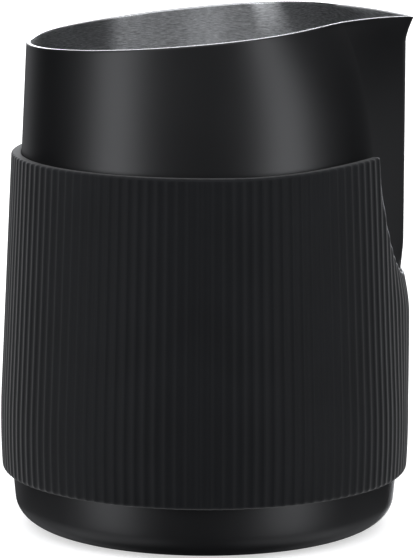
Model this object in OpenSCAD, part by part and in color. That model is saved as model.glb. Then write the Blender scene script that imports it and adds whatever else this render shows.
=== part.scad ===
// Handleless milk frothing pitcher: a drawn steel vessel with a formed pouring spout,
// and a soft fluted grip sleeve, notched under the spout, that pulls off over the rim.
// Millimetres. Origin at the centre of the base, +Z up, the spout points along +X.

/* [Vessel] */
// Outer diameter at the widest point of the belly
belly_d = 83.3; // [70:0.1:100]
// Height of the widest point above the base
belly_z = 22.5; // [18:0.5:28]
// Radius of the barrel curve of the lower wall, seen from the side
belly_arc = 160; // [120:5:260]
// Radius lost for each millimetre of height on the straight upper wall
wall_taper = 0.046; // [0.03:0.001:0.06]
// Thickness of the sheet
wall = 0.9; // [0.7:0.1:1.1]
// Radius of the flat base
foot_r = 32.5; // [28:0.5:34]
// Height at which the rounded base corner meets the wall
corner_h = 5.6; // [4.5:0.1:7]
// Height of the rim over the vessel's axis
rim_h = 107.45; // [102:0.05:112]
// Rise of the rim for each millimetre towards the spout
rim_rise = 0.094; // [0.05:0.002:0.12]

/* [Spout] */
// Distance of the spout's ridge from the axis
ridge_reach = 42.4; // [41.8:0.1:44]
// How far the pouring lip curls out beyond the ridge
lip_flare = 1.7; // [0.5:0.1:3]
// Height over which the lip curls out
lip_h = 5.3; // [3:0.1:8]
// Radius of the spout's rounded ridge, below the lip
nose_low = 6; // [4:0.1:9]
// Radius of the ridge at the very tip of the lip
nose_tip = 1.6; // [1.5:0.1:3]
// Angle from the spout's middle to the crease where its flank leaves the round wall, at the tip's height
crease_top = 31.9; // [28:0.1:34]
// Angle by which the crease closes in for each millimetre further down
crease_drift = 0.21; // [0.1:0.01:0.3]
// Depth of the pinch that draws the wall in beside the spout, at the rim
pinch = 4; // [1:0.1:5]

/* [Grip sleeve] */
// Thickness of the sleeve
sleeve_t = 2.0; // [1.6:0.1:3]
// Clearance between the sleeve and the vessel
sleeve_gap = 0.2; // [0.15:0.05:0.4]
// Height of the sleeve's lower edge
sleeve_low = 11.8; // [9:0.1:16]
// Height of the sleeve's upper edge at the back
sleeve_high = 80.3; // [74:0.1:84]
// How much the upper edge rises beside the notch
sleeve_rise = 1.4; // [0:0.1:3]
// Height of the bottom of the notch under the spout
notch_low = 54.5; // [50:0.5:60]
// Half of the notch's width, as an angle about the axis
notch_angle = 27.4; // [22:0.1:32]
// Radius of the sleeve's rounded lower edge
sleeve_round = 1.1; // [0.5:0.1:1.4]
// How much thinner the sleeve is at the bottom of the notch
notch_thin = 1.4; // [0:0.1:1.4]

/* [Hidden] */

// Height of the level joint between the turned cup and the formed wall, inside the sleeve
split_z = 16;
// The formed wall stands this far inside the cup's own faces where they meet
seat = 0.03;
belly_r = belly_d / 2;
// The barrel curve runs into the straight wall at this height
cone_z = belly_z + belly_arc * sin(atan(wall_taper));
// The ridge leaves the belly over the first span, and the flanks form over the second
tail_from = 20;
tail_to = 32;
ridge_from = 48;
ridge_to = 62;
// The crease keeps its angle below this height
crease_from = 77;
// The pinch starts at this height, and dies out at this angle from the spout's middle
pinch_from = 60;
pinch_end = 84;
// Beyond this distance from the axis the rim levels out towards the tip
level_x = 22;
level_curve = 0.0046;
// Height of the tip
tip_z = 109.3;

function clamp01(t) = min(max(t, 0), 1);
function ease(t) = let (u = clamp01(t)) u * u * (3 - 2 * u);
function cone_start_r() = belly_r - belly_arc * (1 - cos(atan(wall_taper)));
function barrel_r(z) = belly_r - belly_arc + sqrt(belly_arc * belly_arc - pow(z - belly_z, 2));

// Outer radius of the round body
function body_r(z) = z < cone_z ? barrel_r(z) : cone_start_r() - wall_taper * (z - cone_z);

// Distance of the spout's ridge from the axis
function tail_r(z) = body_r(z) + ease((z - tail_from) / (tail_to - tail_from)) * (belly_r - body_r(z));
function spout_share(z) = ease((z - ridge_from) / (ridge_to - ridge_from));
function curl(z) = pow(clamp01((z - tip_z + lip_h) / lip_h), 1.5);
function ridge_r(z) = tail_r(z) + (ridge_reach - belly_r) * spout_share(z) + lip_flare * curl(z);
function nose_r(z) = nose_low + (nose_tip - nose_low) * curl(z);

// Angle from the spout's middle to the crease at each side of it
function crease(z) = crease_top - crease_drift * (tip_z - max(z, crease_from));

// The round wall, drawn in beside the crease towards the rim
function pinch_depth(z) = pinch * pow(clamp01((z - pinch_from) / (tip_z - pinch_from)), 5);
function pinched_r(a, z) =
    let (away = clamp01((a - crease(z)) / (pinch_end - crease(z))))
    body_r(z) - pinch_depth(z) * pow(cos(90 * away), 2);

// Cross-section of the spout: a flat flank from the crease at (px, py) to a rounded ridge
function nose_polar(a, c, r) = c * cos(a) + sqrt(max(r * r - pow(c * sin(a), 2), 0));
function prow(a, c, nose, px, py) =
    let (face = atan2(py, px - c) - acos(nose / norm([px - c, py])))
    let (touch = atan2(nose * sin(face), c + nose * cos(face)))
    a < touch ? nose_polar(a, c, nose) : (c * cos(face) + nose) / cos(a - face);

// The wall between the creases: rounded low down, formed into the spout above
function spout_r(a, z, inset) =
    let (edge = crease(z))
    let (base_r = pinched_r(edge, z) - inset)
    let (low = body_r(z) - inset + (tail_r(z) - body_r(z)) * pow(cos(90 * a / edge), 2))
    let (nose = nose_r(z))
    let (formed = prow(a, ridge_r(z) - nose, nose - inset, base_r * cos(edge), base_r * sin(edge)))
    low + (formed - low) * spout_share(z);

// Distance of the wall from the axis at angle a from the spout, moved inwards by inset
function wall_r(a, z, inset = 0) = a < crease(z) ? spout_r(a, z, inset) : pinched_r(a, z) - inset;

// Angle of a column at height z: the columns near the spout lean with the crease
function column_at(nominal, z) =
    nominal > COLUMN_END ? nominal
    : nominal < COLUMN_CREASE ? nominal * crease(z) / COLUMN_CREASE
    : crease(z) + (nominal - COLUMN_CREASE) * (COLUMN_END - crease(z)) / (COLUMN_END - COLUMN_CREASE);
COLUMN_CREASE = 30;
COLUMN_END = 60;

// Height of the rim
function rim_of_x(x) = rim_h + rim_rise * x - level_curve * pow(max(x - level_x, 0), 2);
function rim_z(a) = rim_of_x(wall_r(a, tip_z) * cos(a));

// A cubic curve through two end points with two handles
function bezier(p, q, r, s, t) =
    pow(1 - t, 3) * p + 3 * pow(1 - t, 2) * t * q + 3 * (1 - t) * t * t * r + t * t * t * s;

// Profile of the cup's rounded corner, from the flat base up to the wall
function corner(low_r, high_r, low_z, steps = 12) =
    let (lean = (belly_z - corner_h) / belly_arc)
    let (reach = 0.55 * (high_r - low_r))
    let (drop = 0.55 * (corner_h - low_z))
    let (low_handle = [low_r + reach, low_z])
    let (high_handle = [high_r - drop * lean, corner_h - drop])
    [for (i = [0:steps]) bezier([low_r, low_z], low_handle, high_handle, [high_r, corner_h], i / steps)];

// Angle of a column from the spout, whichever side it is on
function off_spout(a) = a > 180 ? 360 - a : a;

// Nominal column angles of the formed wall: close together round the spout, wider apart behind
WALL_ANGLES = concat(
    [for (a = [0:3:48]) a],
    [for (a = [54:6:306]) a],
    [for (a = [312:3:357]) a]
);
WALL_ROWS = 18;

// Column angles of the sleeve: they follow the curve of the notch, then go round the back
NOTCH_STEPS = 9;
BACK_STEPS = 54;
SLEEVE_ANGLES = concat(
    [for (i = [0:NOTCH_STEPS]) notch_angle * sin(90 * i / NOTCH_STEPS)],
    [for (i = [0:BACK_STEPS]) notch_angle + 0.4 + (360 - 2 * notch_angle - 0.8) * i / BACK_STEPS],
    [for (i = [NOTCH_STEPS:-1:1]) 360 - notch_angle * sin(90 * i / NOTCH_STEPS)]
);
SLEEVE_ROUND_STEPS = 4;
SLEEVE_WALL_STEPS = 5;
SLEEVE_THIN_STEPS = 4;
SLEEVE_ROWS = SLEEVE_ROUND_STEPS + SLEEVE_WALL_STEPS + SLEEVE_THIN_STEPS;
// The sleeve thins over this height below the notch
thin_h = 10;
// The rise beside the notch dies out at this angle from the spout's middle
RISE_END = 80;

// Height of the sleeve's upper edge: an elliptical notch in front, nearly level behind
function notch_z(a) =
    notch_low + (sleeve_high - notch_low) * (1 - sqrt(max(1 - pow(a / notch_angle, 2), 0)));
function edge_z(a) =
    let (away = (a - notch_angle) / (RISE_END - notch_angle))
    sleeve_high + (away > 1 ? 0 : sleeve_rise * pow(cos(90 * away), 2));
function sleeve_top(a) = a <= notch_angle ? notch_z(a) : edge_z(a);

// Closes a ring-shaped wall from two grids of points with the same rows and columns
module ring_wall(outer, inner) {
    rows = len(outer);
    cols = len(outer[0]);
    flat = concat([for (row = outer) each row], [for (row = inner) each row]);
    back = rows * cols;
    function at(i, j) = i * cols + j % cols;
    function in(i, j) = back + at(i, j);
    faces = concat(
        [for (i = [0:rows - 2], j = [0:cols - 1]) [at(i, j), at(i + 1, j), at(i + 1, j + 1)]],
        [for (i = [0:rows - 2], j = [0:cols - 1]) [at(i, j), at(i + 1, j + 1), at(i, j + 1)]],
        [for (i = [0:rows - 2], j = [0:cols - 1]) [in(i, j), in(i + 1, j + 1), in(i + 1, j)]],
        [for (i = [0:rows - 2], j = [0:cols - 1]) [in(i, j), in(i, j + 1), in(i + 1, j + 1)]],
        [for (j = [0:cols - 1]) [at(0, j), at(0, j + 1), in(0, j + 1)]],
        [for (j = [0:cols - 1]) [at(0, j), in(0, j + 1), in(0, j)]],
        [for (j = [0:cols - 1]) [at(rows - 1, j), in(rows - 1, j + 1), at(rows - 1, j + 1)]],
        [for (j = [0:cols - 1]) [at(rows - 1, j), in(rows - 1, j), in(rows - 1, j + 1)]]
    );
    polyhedron(points = flat, faces = faces, convexity = 6);
}

function polar(r, a, z) = [r * cos(a), r * sin(a), z];

// One row of the vessel's wall, at a share of the height from the joint up to the rim
function wall_row(i, inset, nudge) = [
    for (a = WALL_ANGLES)
        let (b = off_spout(a))
        let (z = split_z + (rim_z(column_at(b, tip_z)) - split_z) * i / (WALL_ROWS - 1))
        let (c = column_at(b, z))
        polar(wall_r(c, z, inset) + (i == 0 ? nudge : 0), a > 180 ? 360 - c : c, z)
];

// The turned cup: flat base, rounded corner and the start of the wall
module cup() {
    wall_steps = 6;
    span = split_z - corner_h;
    outside = corner(foot_r, body_r(corner_h), 0);
    inside = corner(foot_r, body_r(corner_h) - wall, wall);
    up = [for (i = [1:wall_steps]) let (z = corner_h + span * i / wall_steps) [body_r(z), z]];
    down = [for (i = [wall_steps:-1:1]) let (z = corner_h + span * i / wall_steps) [body_r(z) - wall, z]];
    turned_back = [for (i = [len(inside) - 1:-1:0]) inside[i]];
    rotate_extrude($fn = 120)
        polygon(concat([[0, 0]], outside, up, down, turned_back, [[0, wall]]));
}

// The formed wall above the cup, with the spout, the pinch beside it and the slanted rim
module formed_wall() {
    // The columns' straight chords behind the spout dip inwards by this much
    chord_dip = body_r(split_z) * (1 - cos(3));
    ring_wall(
        [for (i = [0:WALL_ROWS - 1]) wall_row(i, 0, -seat)],
        [for (i = [0:WALL_ROWS - 1]) wall_row(i, wall, seat + chord_dip)]
    );
}

module vessel() {
    color([0.09, 0.09, 0.095])
        union() {
            cup();
            formed_wall();
        }
}

// The outer face moves in where the lower edge is rounded
function edge_in(i) = i >= SLEEVE_ROUND_STEPS ? 0 : sleeve_round * (1 - sin(90 * i / SLEEVE_ROUND_STEPS));
function edge_up(i) = sleeve_round * (1 - cos(90 * i / SLEEVE_ROUND_STEPS));

// The outer face also moves in towards the bottom of the notch
THIN_START = SLEEVE_ROUND_STEPS + SLEEVE_WALL_STEPS;
function thin_share(i) = max(i - THIN_START, 0) / SLEEVE_THIN_STEPS;
function thin_in(i, a) =
    a > notch_angle ? 0 : notch_thin * pow(thin_share(i) * cos(90 * a / notch_angle), 2);

// Height of a row of the sleeve's faces
function sleeve_z(i, top) =
    let (first = sleeve_low + sleeve_round)
    let (last = top - thin_h)
    i <= SLEEVE_ROUND_STEPS ? sleeve_low + edge_up(i)
    : i <= THIN_START ? first + (last - first) * (i - SLEEVE_ROUND_STEPS) / SLEEVE_WALL_STEPS
    : last + thin_h * thin_share(i);

// One row of the sleeve's outer or inner face
function sleeve_row(i, off, outer) = [
    for (a = SLEEVE_ANGLES)
        let (b = off_spout(a))
        let (z = sleeve_z(i, sleeve_top(b)))
        polar(wall_r(b, z) + off - (outer ? edge_in(i) + thin_in(i, b) : 0), a, z)
];

module grip_sleeve() {
    color([0.13, 0.13, 0.135])
        ring_wall(
            [for (i = [0:SLEEVE_ROWS]) sleeve_row(i, sleeve_gap + sleeve_t, true)],
            [for (i = [0:SLEEVE_ROWS]) sleeve_row(i, sleeve_gap, false)]
        );
}

vessel();
grip_sleeve();
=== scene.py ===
"""Handleless milk frothing pitcher: a black-coated steel vessel and a fluted silicone grip sleeve.

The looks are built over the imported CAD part, in its frame: metres, origin at the centre of the base,
+Z up and the spout along +X. The sizes of the pitcher are in millimetres and angles in degrees, as in
the CAD. Lights, floor and camera are in metres.
"""

import math

import bpy
import numpy as np
from mathutils import Matrix, Vector


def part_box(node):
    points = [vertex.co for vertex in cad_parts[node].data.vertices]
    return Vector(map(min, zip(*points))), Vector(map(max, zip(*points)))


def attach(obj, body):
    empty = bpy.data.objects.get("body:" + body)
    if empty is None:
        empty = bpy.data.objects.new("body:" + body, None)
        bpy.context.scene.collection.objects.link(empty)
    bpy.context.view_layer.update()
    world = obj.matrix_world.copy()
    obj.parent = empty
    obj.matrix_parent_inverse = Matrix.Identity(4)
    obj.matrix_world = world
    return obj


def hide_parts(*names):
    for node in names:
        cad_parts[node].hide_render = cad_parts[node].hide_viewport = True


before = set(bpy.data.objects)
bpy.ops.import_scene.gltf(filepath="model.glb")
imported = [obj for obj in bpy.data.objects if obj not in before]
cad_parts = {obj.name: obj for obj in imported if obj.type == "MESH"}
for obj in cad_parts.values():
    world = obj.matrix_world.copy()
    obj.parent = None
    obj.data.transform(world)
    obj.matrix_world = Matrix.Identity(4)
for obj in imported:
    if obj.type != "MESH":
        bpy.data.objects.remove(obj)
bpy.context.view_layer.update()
MM = 0.001

# ---------------------------------------------------------------- sizes of the vessel
belly_d = 83.3
belly_z = 22.5
belly_arc = 160.0
wall_taper = 0.046
wall = 0.9
foot_r = 32.5
corner_h = 5.6
rim_h = 107.45
rim_rise = 0.094
ridge_reach = 42.4
lip_flare = 1.7
lip_h = 5.3
nose_low = 6.0
nose_tip = 1.6
crease_top = 31.9
crease_drift = 0.21
pinch = 4.0

# ---------------------------------------------------------------- sizes of the sleeve
sleeve_low_corner, sleeve_high_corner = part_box("grip_sleeve")
sleeve_gap = 0.2
sleeve_t = sleeve_high_corner.y / MM - belly_d / 2 - sleeve_gap
sleeve_low = sleeve_low_corner.z / MM
sleeve_rise = 1.4
sleeve_high = sleeve_high_corner.z / MM - sleeve_rise
notch_low = 54.5
notch_angle = 27.4
sleeve_round = 1.1
notch_thin = 1.4
thin_h = 10.0
rise_end = 80  # angle at which the upper edge has come down to sleeve_high
least_t = 0.3  # the outer face stays this far outside the inner face at the notch

# ---------------------------------------------------------------- derived sizes and spans
belly_r = belly_d / 2
lean = math.atan(wall_taper)
cone_z = belly_z + belly_arc * math.sin(lean)
tail_from, tail_to = 20, 32
ridge_from, ridge_to = 48, 62
crease_from = 77
pinch_from = 60
pinch_end = 84
nominal_crease = 30  # nominal angle of the column that follows the crease
column_end = 60  # columns beyond this angle stand upright
level_x, level_curve = 22, 0.0046
tip_z = 109.3

# ---------------------------------------------------------------- detail that the CAD doesn't have
coat_t = 0.06
coat_end = 46  # how far round the rim's outer edge the coat reaches
under = coat_t * 0.8  # depth of the steel's outer face under the coat's
half_wall = (wall - under) / 2

flutes = 120
flute_depth = 0.17
flute_share = 0.8  # the hollow's share of each flute's pitch
top_round = 0.5
ledge_in = 0.15  # width of the bevel at the inner edges of the sleeve
ledge_bevel = 0.04
# painted highlight along the sleeve's upper edge: its width, and its strength away from the notch
edge_highlight_width = 0.36
edge_highlight_elsewhere = 0.012  # painted highlight of the upper edge away from the notch


# ---------------------------------------------------------------- the shape, as in the CAD
def clamp01(t):
    return np.clip(t, 0, 1)


def ease(t):
    u = clamp01(t)
    return u * u * (3 - 2 * u)


def body_r(z):
    barrel = belly_r - belly_arc + np.sqrt(belly_arc**2 - (np.minimum(z, cone_z) - belly_z) ** 2)
    cone = belly_r - belly_arc * (1 - math.cos(lean)) - wall_taper * (z - cone_z)
    return np.where(z < cone_z, barrel, cone)


def curl(z):
    return clamp01((z - tip_z + lip_h) / lip_h) ** 1.5


def tail_r(z):
    return body_r(z) + ease((z - tail_from) / (tail_to - tail_from)) * (belly_r - body_r(z))


def spout_share(z):
    return ease((z - ridge_from) / (ridge_to - ridge_from))


def crease(z):
    """Angle from the spout's middle to the crease where its flank leaves the round wall."""
    return crease_top - crease_drift * (tip_z - np.maximum(z, crease_from))


def pinched_r(deg, z):
    """The round wall, drawn in beside the crease towards the rim."""
    depth = pinch * clamp01((z - pinch_from) / (tip_z - pinch_from)) ** 5
    away = clamp01((deg - crease(z)) / (pinch_end - crease(z)))
    return body_r(z) - depth * np.cos(np.radians(90 * away)) ** 2


def prow(a, c, nose, px, py):
    """Distance from the axis of a flat flank from the crease at (px, py) to the spout's round nose."""
    gap = np.hypot(px - c, py)
    face = np.arctan2(py, px - c) - np.arccos(nose / gap)
    touch = np.arctan2(nose * np.sin(face), c + nose * np.cos(face))
    round_part = c * np.cos(a) + np.sqrt(np.maximum(nose**2 - (c * np.sin(a)) ** 2, 0))
    flat_part = (c * np.cos(face) + nose) / np.cos(a - face)
    return np.where(a < touch, round_part, flat_part)


def wall_r(deg, z, inset=0.0):
    """Distance of the vessel's wall from the axis, at deg degrees from the spout, moved inwards by inset."""
    edge = crease(z)
    wall_out = pinched_r(deg, z) - inset
    at_crease = pinched_r(edge, z) - inset
    nose = nose_low + (nose_tip - nose_low) * curl(z)
    reach = tail_r(z) + (ridge_reach - belly_r) * spout_share(z) + lip_flare * curl(z)
    turn = np.radians(edge)
    crease_x = at_crease * np.cos(turn)
    crease_y = at_crease * np.sin(turn)
    formed = prow(np.radians(deg), reach - nose, nose - inset, crease_x, crease_y)
    tail_share = np.cos(np.radians(90 * np.minimum(deg / edge, 1))) ** 2
    low = body_r(z) - inset + (tail_r(z) - body_r(z)) * tail_share
    return np.where(deg >= edge, wall_out, low + (formed - low) * spout_share(z))


def column_at(nominal, z):
    """Angle of a column at height z: the columns near the spout lean with the crease."""
    edge = crease(z)
    inside = nominal * edge / nominal_crease
    outside = edge + (nominal - nominal_crease) * (column_end - edge) / (column_end - nominal_crease)
    leaning = np.where(nominal < nominal_crease, inside, outside)
    return np.where(nominal > column_end, nominal, leaning)


def rim_z(deg):
    """Height of the slanted rim, which levels out towards the tip."""
    x = wall_r(deg, np.full_like(deg, tip_z)) * np.cos(np.radians(deg))
    return rim_h + rim_rise * x - level_curve * np.maximum(x - level_x, 0) ** 2


def off_spout(angles):
    """Angle from the spout's middle, the same on both sides of it."""
    return np.where(angles > 180, 360 - angles, angles)


def notch_z(deg):
    inside = np.minimum(deg / notch_angle, 1)
    return notch_low + (sleeve_high - notch_low) * (1 - np.sqrt(1 - inside**2))


def edge_z(deg):
    rise = np.cos(np.radians(90 * (deg - notch_angle) / (rise_end - notch_angle))) ** 2
    return sleeve_high + np.where(deg > rise_end, 0, sleeve_rise * rise)


def sleeve_top(deg):
    return np.where(deg <= notch_angle, notch_z(deg), edge_z(deg))


# ---------------------------------------------------------------- mesh building
def ring_mesh(name, rows, closed):
    """A mesh from rows of (r, angle, z) that run up the outside and back down the inside.

    closed joins the last ring to the first; otherwise both ends run to a point on the axis."""
    count = len(rows[0][0])
    points = [
        np.stack([r * np.cos(np.radians(a)), r * np.sin(np.radians(a)), z], axis=1)
        for r, a, z in rows
    ]
    verts = np.concatenate(points) * MM
    index = np.arange(count)
    after = (index + 1) % count
    faces = []
    pairs = len(rows) if closed else len(rows) - 1
    for i in range(pairs):
        a, b = i * count, ((i + 1) % len(rows)) * count
        faces.append(np.stack([a + index, a + after, b + after, b + index], axis=1))
    quads = np.concatenate(faces).tolist()
    verts = verts.tolist()
    if not closed:
        for end in (0, len(rows) - 1):
            pole = len(verts)
            verts.append((0.0, 0.0, float(np.mean(rows[end][2])) * MM))
            for j in range(count):
                k = (j + 1) % count
                p, q = end * count + j, end * count + k
                quads.append([q, p, pole] if end == 0 else [p, q, pole])
    mesh = bpy.data.meshes.new(name)
    mesh.from_pydata(verts, [], quads)
    mesh.update()
    mesh.shade_smooth()
    mesh.set_sharp_from_angle(angle=math.radians(38))
    piece = bpy.data.objects.new(name, mesh)
    bpy.context.scene.collection.objects.link(piece)
    return piece


def bezier(p, q, r, s, t):
    return (1 - t) ** 3 * p + 3 * (1 - t) ** 2 * t * q + 3 * (1 - t) * t * t * r + t**3 * s


def corner_rows(high_r, low_z, steps, low_r=foot_r):
    """Rings of the rounded corner between the flat base and the wall."""
    slope = (belly_z - corner_h) / belly_arc
    reach = 0.55 * (high_r - low_r)
    drop = 0.55 * (corner_h - low_z)
    rows = []
    for i in range(steps + 1):
        t = i / steps
        r = bezier(low_r, low_r + reach, high_r - drop * slope, high_r, t)
        z = bezier(low_z, low_z, corner_h - drop, corner_h, t)
        rows.append((r, low_turn, np.full_like(high_r, z)))
    return rows


def wall_shares(steps, lip_steps, lip_from=0.93):
    """Shares of the height from the base corner to the rim, closer together in the lip."""
    lower = np.linspace(0, lip_from, steps + 1)[1:]
    upper = lip_from + (1 - lip_from) * np.linspace(0, 1, lip_steps + 1)[1:]
    return np.concatenate([lower, upper])


def flat_rows(z, radii):
    """Rings of the flat base."""
    return [(np.full(columns, float(r)), low_turn, np.full(columns, z)) for r in radii]


def wall_ring(z, inset=0.0, inwards=0.0):
    """One row of the vessel's wall, its columns leaning with the crease.

    inset moves the whole section inwards; inwards only shortens the radius."""
    a = column_at(nominal, z)
    return (wall_r(a, z, inset) - inwards, np.where(vessel_angles > 180, 360 - a, a), z)


half_angles = np.concatenate(
    [np.arange(0, 6, 0.2), np.arange(6, 60, 0.5), np.arange(60, 180, 1.0), [180.0]]
)
vessel_angles = np.concatenate([half_angles, 360 - half_angles[-2:0:-1]])
nominal = off_spout(vessel_angles)
columns = len(vessel_angles)
top = rim_z(column_at(nominal, tip_z))
corner_r, low_turn = wall_ring(np.full(columns, corner_h))[:2]
floor_radii = [4, 10, 16, 22, 28]
shares = wall_shares(70, 16)


def coat_piece():
    """The black coat: a thin closed skin over the base, the outside and the rim's outer edge."""
    rows = flat_rows(0.0, floor_radii)
    rows += corner_rows(corner_r, 0.0, 16)
    low_top = top - half_wall
    for s in shares:
        rows.append(wall_ring(corner_h + (low_top - corner_h) * s))
    outer_round = half_wall + under
    inner_round = outer_round - coat_t
    turns = [math.radians(coat_end * i / 8) for i in range(1, 9)]
    for t in turns:
        z = low_top + outer_round * math.sin(t)
        rows.append(wall_ring(z, 0.0, outer_round * (1 - math.cos(t))))
    for t in turns[::-1]:
        z = low_top + inner_round * math.sin(t)
        rows.append(wall_ring(z, 0.0, outer_round - inner_round * math.cos(t)))
    for s in shares[::-1]:
        rows.append(wall_ring(corner_h + (low_top - corner_h) * s, 0.0, coat_t))
    rows += corner_rows(corner_r - coat_t, coat_t, 16)[::-1]
    rows += flat_rows(coat_t, floor_radii[::-1])
    return ring_mesh("vessel_coat", rows, closed=False)


def steel_piece():
    """The drawn steel body: hidden under the coat outside, bare inside and over the rounded rim."""
    rows = flat_rows(under, floor_radii)
    rows += corner_rows(corner_r - under, under, 16)
    low_top = top - half_wall
    for s in shares:
        rows.append(wall_ring(corner_h + (low_top - corner_h) * s, 0.0, under))
    rim_from = len(rows) - 1
    for i in range(1, 11):
        t = math.radians(9 * i)
        z = top - half_wall * (1 - math.sin(t))
        rows.append(wall_ring(z, 0.0, under + half_wall * (1 - math.cos(t))))
    for i in range(9, 0, -1):
        t = math.radians(10 * i)
        z = top - half_wall * (1 - math.sin(t))
        rows.append(wall_ring(z, wall, -half_wall * (1 - math.cos(t))))
    rim_to = len(rows)
    for s in shares[::-1]:
        rows.append(wall_ring(corner_h + (low_top - corner_h) * s, wall))
    rows += corner_rows(corner_r - wall, wall, 16)[::-1]
    rows += flat_rows(wall, floor_radii[::-1])
    steel_body = ring_mesh("vessel_steel", rows, closed=False)
    rim_faces = np.zeros(len(steel_body.data.polygons), dtype=np.int32)
    rim_faces[rim_from * columns : rim_to * columns] = 1
    steel_body.data.polygons.foreach_set("material_index", rim_faces)
    return steel_body


def flute_angles():
    """Column angles of the sleeve: a fixed set in each flute, and more at the notch's steep sides."""
    share = np.array([0, 0.1, 0.2, 0.3, 0.37, 0.42, 0.45, 0.475])
    one = np.concatenate([-share[:0:-1], share, [0.5]])
    pitch = 360 / flutes
    angles = (np.arange(flutes)[:, None] + one[None, :]).ravel() * pitch
    near = notch_angle - np.array([0.0, 0.02, 0.06, 0.12, 0.2, 0.32, 0.5, 0.75, 1.05])
    near = np.concatenate([near, [notch_angle + 0.02, notch_angle + 0.2, notch_angle + 0.5]])
    angles = np.concatenate([angles % 360, near, 360 - near])
    angles = np.unique(np.round(angles, 4))
    keep = np.ones(len(angles), bool)
    forced = np.isin(angles, np.round(np.concatenate([near, 360 - near]), 4))
    for i in range(1, len(angles)):
        if angles[i] - angles[i - 1] < 0.018 and not forced[i]:
            keep[i] = False
    return angles[keep]


def flute_cut(angles):
    """Depth of the flutes: a concave hollow across most of each pitch, and a narrow ridge between."""
    pitch = 360 / flutes
    p = np.abs((angles / pitch + 0.5) % 1 - 0.5)
    return flute_depth * np.maximum(1 - (2 * p / flute_share) ** 2, 0)


def edge_distance(angles, z, edge_s, edge_h, radius):
    """Distance from points of the sleeve's outer face to its upper edge, measured over the face."""
    s = np.radians(np.where(angles > 180, angles - 360, angles)) * radius
    best = np.full(s.shape, 1e9)
    for i in range(len(edge_s) - 1):
        ds, dz = edge_s[i + 1] - edge_s[i], edge_h[i + 1] - edge_h[i]
        length_squared = max(ds * ds + dz * dz, 1e-12)
        t = clamp01(((s - edge_s[i]) * ds + (z - edge_h[i]) * dz) / length_squared)
        best = np.minimum(best, (s - edge_s[i] - t * ds) ** 2 + (z - edge_h[i] - t * dz) ** 2)
    return np.sqrt(best)


def sleeve_piece():
    """The silicone sleeve: fluted outside, smooth inside, notched under the spout."""
    angles = flute_angles()
    a = off_spout(angles)
    top_z = sleeve_top(a)
    cut = flute_cut(angles)
    count = len(angles)
    outer = sleeve_gap + sleeve_t
    radius = belly_r + outer

    # the upper edge near the notch, unrolled, for rounding it evenly
    front = np.sort(np.where(angles > 180, angles - 360, angles))
    front = front[np.abs(front) < 34]
    edge_s = np.radians(front) * radius
    edge_h = sleeve_top(np.abs(front))
    near = a < 32

    slope = np.abs(np.gradient(top_z, np.radians(angles) * radius))
    slope = np.where(a <= notch_angle, slope, 0)
    steep = np.minimum(np.sqrt(1 + slope**2), 14)

    rows = []
    edge_highlight = {}
    # rounded lower edge
    for i in range(9):
        t = math.radians(90 * i / 8)
        z = np.full(count, sleeve_low + sleeve_round * (1 - math.cos(t)))
        rows.append((wall_r(a, z) + outer - sleeve_round * (1 - math.sin(t)) - cut, angles, z))
    # outer face up to where it starts to thin
    first = sleeve_low + sleeve_round
    last = top_z - thin_h
    for i in range(1, 29):
        z = first + (last - first) * i / 28
        rows.append((wall_r(a, z) + outer - cut, angles, z))
    # the last stretch, with the thinning at the notch, the rounded edge and its painted highlight
    for d in (8.5, 7, 5.5, 4, 2.8, 1.9, 1.3, 0.9, 0.6, 0.42, 0.33, 0.25, 0.18, 0.12, 0.07, 0.03, 0.0):
        down = thin_h * (1 - (1 - d / thin_h) ** steep)
        z = top_z - down
        gap = np.array(down)
        if d < 8:
            level = edge_distance(angles[near], z[near], edge_s, edge_h, radius)
            gap[near] = np.minimum(level, down[near])
        if d == 0:
            gap[:] = 0
        inside = clamp01(gap / top_round)
        rounding = top_round * (1 - np.sqrt(1 - (1 - inside) ** 2))
        share = clamp01(1 - down / thin_h) ** 2
        spread = np.where(a < notch_angle, np.cos(np.radians(90 * a / notch_angle)) ** 2, 0)
        inwards = np.minimum(cut + rounding + notch_thin * share * spread, sleeve_t - least_t)
        rows.append((wall_r(a, z) + outer - inwards, angles, z))
        in_notch = a <= notch_angle + 0.3
        # painted highlight: a pale band along the edge, full at the notch and faint elsewhere
        edge_highlight[len(rows) - 1] = np.exp(-((gap / edge_highlight_width) ** 2)) * np.where(in_notch, 1.0, edge_highlight_elsewhere)
    # upper ledge, inner face and lower ledge
    rows.append((wall_r(a, top_z) + sleeve_gap + ledge_in, angles, top_z))
    rows.append((wall_r(a, top_z) + sleeve_gap + ledge_bevel, angles, top_z - ledge_bevel))
    for i in range(14):
        z = top_z - ledge_in - (top_z - 2 * ledge_in - sleeve_low) * i / 13
        rows.append((wall_r(a, z) + sleeve_gap, angles, z))
    low = np.full(count, sleeve_low)
    rows.append((wall_r(a, low) + sleeve_gap + ledge_bevel, angles, low + ledge_bevel))
    rows.append((wall_r(a, low) + sleeve_gap + ledge_in, angles, low))
    sleeve_body = ring_mesh("sleeve_fluted", rows, closed=True)
    painted_edge_highlight = np.zeros((len(rows), count), dtype=np.float32)
    for i, amount in edge_highlight.items():
        painted_edge_highlight[i] = amount
    highlight_layer = sleeve_body.data.attributes.new("painted_edge_highlight", "FLOAT", "POINT")
    highlight_layer.data.foreach_set("value", painted_edge_highlight.ravel())
    return sleeve_body


# ---------------------------------------------------------------- materials
def new_material(name):
    material = bpy.data.materials.new(name)
    material.use_nodes = True
    tree = material.node_tree
    shader = tree.nodes["Principled BSDF"]
    return material, tree, shader


def node(tree, kind, **settings):
    made = tree.nodes.new(kind)
    for key, value in settings.items():
        setattr(made, key, value)
    return made


def link(tree, source, target):
    tree.links.new(source, target)


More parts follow.
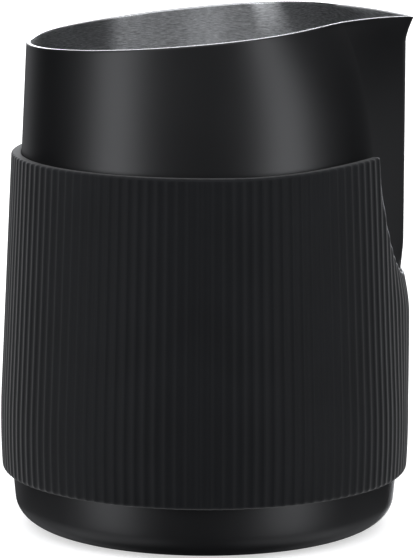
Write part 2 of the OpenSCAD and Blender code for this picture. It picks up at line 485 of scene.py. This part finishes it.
def ramp(tree, source, low, high, start=0.0, end=1.0):
    """A colour ramp between two greys or colours, driven by source."""
    made = node(tree, "ShaderNodeValToRGB")
    made.color_ramp.elements[0].position = start
    made.color_ramp.elements[1].position = end
    made.color_ramp.elements[0].color = (*low, 1)
    made.color_ramp.elements[1].color = (*high, 1)
    link(tree, source, made.inputs["Fac"])
    return made.outputs["Color"]


def spread(tree, source, low, high):
    """Source, from 0 to 1, mapped to low to high."""
    made = node(tree, "ShaderNodeMapRange")
    made.inputs["To Min"].default_value = low
    made.inputs["To Max"].default_value = high
    link(tree, source, made.inputs["Value"])
    return made.outputs["Result"]


def noise(tree, vector, scale, detail=3.0, roughness=0.5):
    made = node(tree, "ShaderNodeTexNoise")
    made.inputs["Scale"].default_value = scale
    made.inputs["Detail"].default_value = detail
    made.inputs["Roughness"].default_value = roughness
    link(tree, vector, made.inputs["Vector"])
    return made.outputs["Fac"]


def bump(tree, shader, height, strength, distance):
    made = node(tree, "ShaderNodeBump")
    made.inputs["Strength"].default_value = strength
    made.inputs["Distance"].default_value = distance
    link(tree, height, made.inputs["Height"])
    link(tree, made.outputs["Normal"], shader.inputs["Normal"])


def round_coordinates(tree, along, across):
    """Coordinates that change slowly round the axis and quickly up the wall and across the floor."""
    source = node(tree, "ShaderNodeTexCoord").outputs["Object"]
    parts = node(tree, "ShaderNodeSeparateXYZ")
    link(tree, source, parts.inputs[0])
    level = node(tree, "ShaderNodeCombineXYZ")
    link(tree, parts.outputs["X"], level.inputs["X"])
    link(tree, parts.outputs["Y"], level.inputs["Y"])
    unit = node(tree, "ShaderNodeVectorMath", operation="NORMALIZE")
    link(tree, level.outputs[0], unit.inputs[0])
    round_it = node(tree, "ShaderNodeVectorMath", operation="SCALE")
    round_it.inputs["Scale"].default_value = along
    link(tree, unit.outputs["Vector"], round_it.inputs[0])
    length = node(tree, "ShaderNodeVectorMath", operation="LENGTH")
    link(tree, level.outputs[0], length.inputs[0])
    height = node(tree, "ShaderNodeMath", operation="ADD")
    link(tree, parts.outputs["Z"], height.inputs[0])
    link(tree, length.outputs["Value"], height.inputs[1])
    far = node(tree, "ShaderNodeMath", operation="MULTIPLY")
    far.inputs[1].default_value = across
    link(tree, height.outputs[0], far.inputs[0])
    lift = node(tree, "ShaderNodeCombineXYZ")
    link(tree, far.outputs[0], lift.inputs["Z"])
    total = node(tree, "ShaderNodeVectorMath", operation="ADD")
    link(tree, round_it.outputs["Vector"], total.inputs[0])
    link(tree, lift.outputs[0], total.inputs[1])
    return total.outputs["Vector"]


def steel_material():
    material, tree, shader = new_material("brushed_steel")
    fine = noise(tree, round_coordinates(tree, 26.0, 9000.0), 1.0, 5.0, 0.75)
    broad = noise(tree, round_coordinates(tree, 7.0, 2600.0), 1.0, 3.0, 0.6)
    tone = ramp(tree, fine, (0.27, 0.275, 0.28), (0.90, 0.905, 0.91), 0.35, 0.65)
    link(tree, tone, shader.inputs["Base Color"])
    link(tree, spread(tree, broad, 0.24, 0.36), shader.inputs["Roughness"])
    shader.inputs["Metallic"].default_value = 1.0
    shader.inputs["Anisotropic"].default_value = 0.95
    shader.inputs["Anisotropic Rotation"].default_value = 0.25
    tangent = node(tree, "ShaderNodeTangent", direction_type="RADIAL", axis="Z")
    link(tree, tangent.outputs["Tangent"], shader.inputs["Tangent"])
    bump(tree, shader, fine, 0.25, 0.00002)
    return material


def rim_material():
    material, tree, shader = new_material("turned_steel_rim")
    lines = noise(tree, round_coordinates(tree, 20.0, 7000.0), 1.0, 3.0, 0.6)
    tone = ramp(tree, lines, (0.62, 0.625, 0.63), (0.8, 0.805, 0.81), 0.3, 0.7)
    link(tree, tone, shader.inputs["Base Color"])
    link(tree, spread(tree, lines, 0.16, 0.26), shader.inputs["Roughness"])
    shader.inputs["Metallic"].default_value = 1.0
    bump(tree, shader, lines, 0.1, 0.00001)
    return material


def coat_material():
    material, tree, shader = new_material("satin_black_coat")
    source = node(tree, "ShaderNodeTexCoord").outputs["Object"]
    grain = noise(tree, source, 5500.0, 2.0, 0.5)
    cloud = noise(tree, source, 60.0, 3.0, 0.5)
    tone = ramp(tree, cloud, (0.0016, 0.0017, 0.0021), (0.0024, 0.0025, 0.0030), 0.3, 0.7)
    link(tree, tone, shader.inputs["Base Color"])
    link(tree, spread(tree, cloud, 0.385, 0.42), shader.inputs["Roughness"])
    bump(tree, shader, grain, 0.12, 0.00001)
    return material


def rubber_material():
    material, tree, shader = new_material("grey_silicone")
    source = node(tree, "ShaderNodeTexCoord").outputs["Object"]
    grain = noise(tree, source, 3800.0, 3.0, 0.6)
    cloud = noise(tree, source, 90.0, 3.0, 0.5)
    body = ramp(tree, cloud, (0.0010, 0.0014, 0.0021), (0.0015, 0.0020, 0.0029), 0.3, 0.7)
    # painted highlight: the notch's edge is paler, unevenly so
    lit_edge = node(tree, "ShaderNodeMix", data_type="RGBA")
    uneven = node(tree, "ShaderNodeMath", operation="MULTIPLY")
    painted_edge_highlight = node(tree, "ShaderNodeAttribute", attribute_name="painted_edge_highlight")
    patches = noise(tree, source, 260.0, 3.0, 0.6)
    link(tree, painted_edge_highlight.outputs["Fac"], uneven.inputs[0])
    link(tree, spread(tree, patches, 0.45, 1.0), uneven.inputs[1])
    link(tree, uneven.outputs["Value"], lit_edge.inputs["Factor"])
    link(tree, body, lit_edge.inputs["A"])
    # colour of the painted highlight on the notch's edge
    lit_edge.inputs["B"].default_value = (0.50, 0.51, 0.53, 1)
    link(tree, lit_edge.outputs["Result"], shader.inputs["Base Color"])
    link(tree, spread(tree, grain, 0.56, 0.66), shader.inputs["Roughness"])
    shader.inputs["Specular IOR Level"].default_value = 0.16
    shader.inputs["Sheen Weight"].default_value = 0.14
    shader.inputs["Sheen Roughness"].default_value = 0.4
    bump(tree, shader, grain, 0.15, 0.00002)
    return material


# ---------------------------------------------------------------- pieces
coat = coat_piece()
steel = steel_piece()
sleeve = sleeve_piece()
coat.data.materials.append(coat_material())
steel.data.materials.append(steel_material())
steel.data.materials.append(rim_material())
sleeve.data.materials.append(rubber_material())
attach(coat, "pitcher")
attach(steel, "pitcher")
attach(sleeve, "sleeve")
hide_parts("vessel")
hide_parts("vessel")
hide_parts("grip_sleeve")


# ---------------------------------------------------------------- floor, light and camera
def floor_disc():
    sides, radius = 96, 8.0
    ring = [
        (radius * math.cos(2 * math.pi * i / sides), radius * math.sin(2 * math.pi * i / sides), 0.0)
        for i in range(sides)
    ]
    mesh = bpy.data.meshes.new("floor")
    mesh.from_pydata(ring, [], [list(range(sides))])
    mesh.update()
    floor = bpy.data.objects.new("floor", mesh)
    bpy.context.scene.collection.objects.link(floor)
    material, tree, shader = new_material("pale_floor")
    shader.inputs["Base Color"].default_value = (0.6, 0.6, 0.6, 1)
    shader.inputs["Emission Color"].default_value = (1, 1, 1, 1)
    shader.inputs["Emission Strength"].default_value = 0.55
    shader.inputs["Roughness"].default_value = 0.9
    shader.inputs["Specular IOR Level"].default_value = 0.0
    mesh.materials.append(material)
    floor.location.z = -0.0002
    floor.visible_glossy = False
    floor.visible_shadow = False


light_colour = (0.95, 0.962, 1.0)
aim_point = Vector((0, 0, 0.055))


def softbox(name, azimuth, elevation, distance, width, height, radiance):
    """A rectangular softbox. Azimuth is measured round from the camera's side, positive to the right."""
    a, e = math.radians(azimuth), math.radians(elevation)
    away = Vector((math.sin(a) * math.cos(e), -math.cos(a) * math.cos(e), math.sin(e)))
    data = bpy.data.lights.new(name, "AREA")
    data.shape = "RECTANGLE"
    data.size = width
    data.size_y = height
    data.energy = radiance * math.pi * width * height
    data.color = light_colour
    light = bpy.data.objects.new(name, data)
    light.location = aim_point + away * distance
    light.rotation_euler = away.to_track_quat("Z", "Y").to_euler()
    bpy.context.scene.collection.objects.link(light)


floor_disc()
softbox("left_box", -57, -7, 1.3, 0.60, 0.66, 4.3)
softbox("right_box", 52, -7, 1.3, 0.62, 0.66, 4.4)
softbox("front_box", 5, 38, 0.95, 2.85, 0.6, 2.0)
softbox("left_mid_box", -86, 36, 0.95, 0.75, 0.7, 0.6)
softbox("right_mid_box", 88, 38, 0.95, 0.6, 0.6, 0.25)
softbox("rear_box", 180, 14, 1.5, 1.4, 0.7, 3.8)
softbox("top_box", 180, 68, 1.0, 1.3, 0.8, 1.8)
softbox("left_rear_box", -150, 2, 1.4, 0.6, 0.9, 0.4)
softbox("right_rear_box", 138, 9, 1.4, 0.7, 0.9, 0.25)
softbox("right_edge_box", 166, -4, 1.4, 0.3, 0.9, 3.6)
softbox("low_left_box", -75, -50, 1.0, 0.9, 0.6, 0.7)
softbox("low_right_box", 75, -50, 1.0, 0.9, 0.6, 0.7)
softbox("low_left_rear_box", -132, -38, 1.0, 1.0, 0.6, 0.3)
softbox("low_right_rear_box", 132, -38, 1.0, 1.0, 0.6, 0.3)

world = bpy.data.worlds.new("studio")
world.use_nodes = True
world.node_tree.nodes["Background"].inputs["Color"].default_value = (1, 1, 1, 1)
world.node_tree.nodes["Background"].inputs["Strength"].default_value = 1.0
world.cycles_visibility.glossy = False
bpy.context.scene.world = world

camera_data = bpy.data.cameras.new("camera")
camera_data.sensor_width = 36.0
camera_data.lens = 262.0
camera_data.clip_start = 0.05
camera_data.clip_end = 50.0
camera = bpy.data.objects.new("camera", camera_data)
camera.location = (0.00062, -0.8568, 0.2029)
looks_down = 9.95
tilt = Matrix.Rotation(math.radians(90 - looks_down), 3, "X")
roll = Matrix.Rotation(math.radians(0.2), 3, "Z")
camera.rotation_euler = (tilt @ roll).to_euler()
bpy.context.scene.collection.objects.link(camera)
bpy.context.scene.camera = camera
bpy.context.scene.view_settings.view_transform = "Standard"
bpy.context.scene.view_settings.look = "None"
